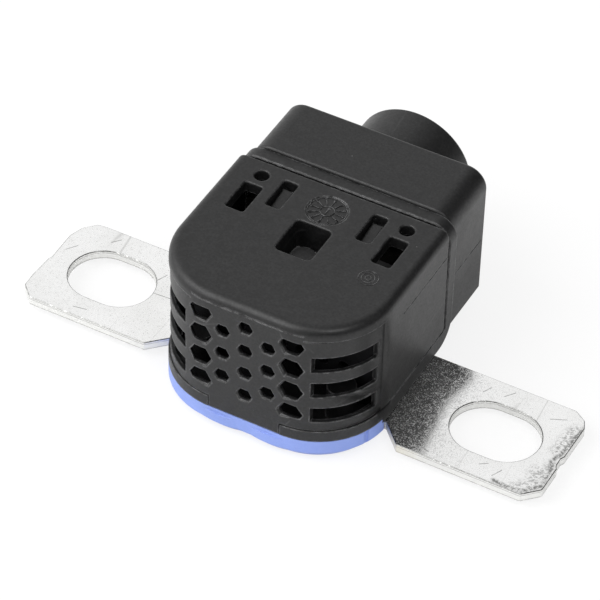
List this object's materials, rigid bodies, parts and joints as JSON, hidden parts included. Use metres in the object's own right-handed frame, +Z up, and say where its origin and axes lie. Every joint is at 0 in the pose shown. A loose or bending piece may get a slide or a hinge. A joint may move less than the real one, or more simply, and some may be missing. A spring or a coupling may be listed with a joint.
{
  "type": "battery fuse",
  "caption": "Pyrotechnic battery disconnect fuse: vented plastic housing with a round connector hood over a flat tinned busbar with slotted, chamfered tabs.",
  "frame": {"origin": "on the underside of the busbar, midway between its two bolt slots", "axes": "+X along the busbar, +Y out of the connector socket, +Z up"},
  "size_m": [0.09, 0.0554, 0.0274],
  "materials": {
    "tinned_copper": "matt tin plate over copper",
    "blue_plastic": "satin moulded",
    "black_plastic": "fine-grained satin, glass-filled",
    "zinc_steel": "zinc plated",
    "bright_steel": "drawn",
    "dark_steel": "blackened",
    "charge_compound": "pressed powder",
    "gold_plate": "gold plated",
    "grey_plastic": "moulded",
    "seal_rubber": "matt",
    "ceramic_filled": "dark ceramic-filled moulding"
  },
  "bodies": {
    "root": {"busbar": "tinned_copper", "base_cover": "blue_plastic", "frame_housing": "black_plastic", "vent_cover": "black_plastic", "rear_housing": "black_plastic", "base_screws": "zinc_steel", "igniter_cup": "bright_steel", "igniter_charge": "charge_compound", "igniter_header": "bright_steel", "contact_pins": "gold_plate", "igniter_body": "grey_plastic", "igniter_retainer": "zinc_steel", "igniter_seal": "seal_rubber", "cylinder_sleeve": "bright_steel", "cutter_piston": "grey_plastic", "piston_seal": "seal_rubber", "anvil_block": "ceramic_filled", "vent_baffle": "dark_steel", "connector_retainer": "grey_plastic", "shorting_clip": "gold_plate"}
  },
  "joints": []
}
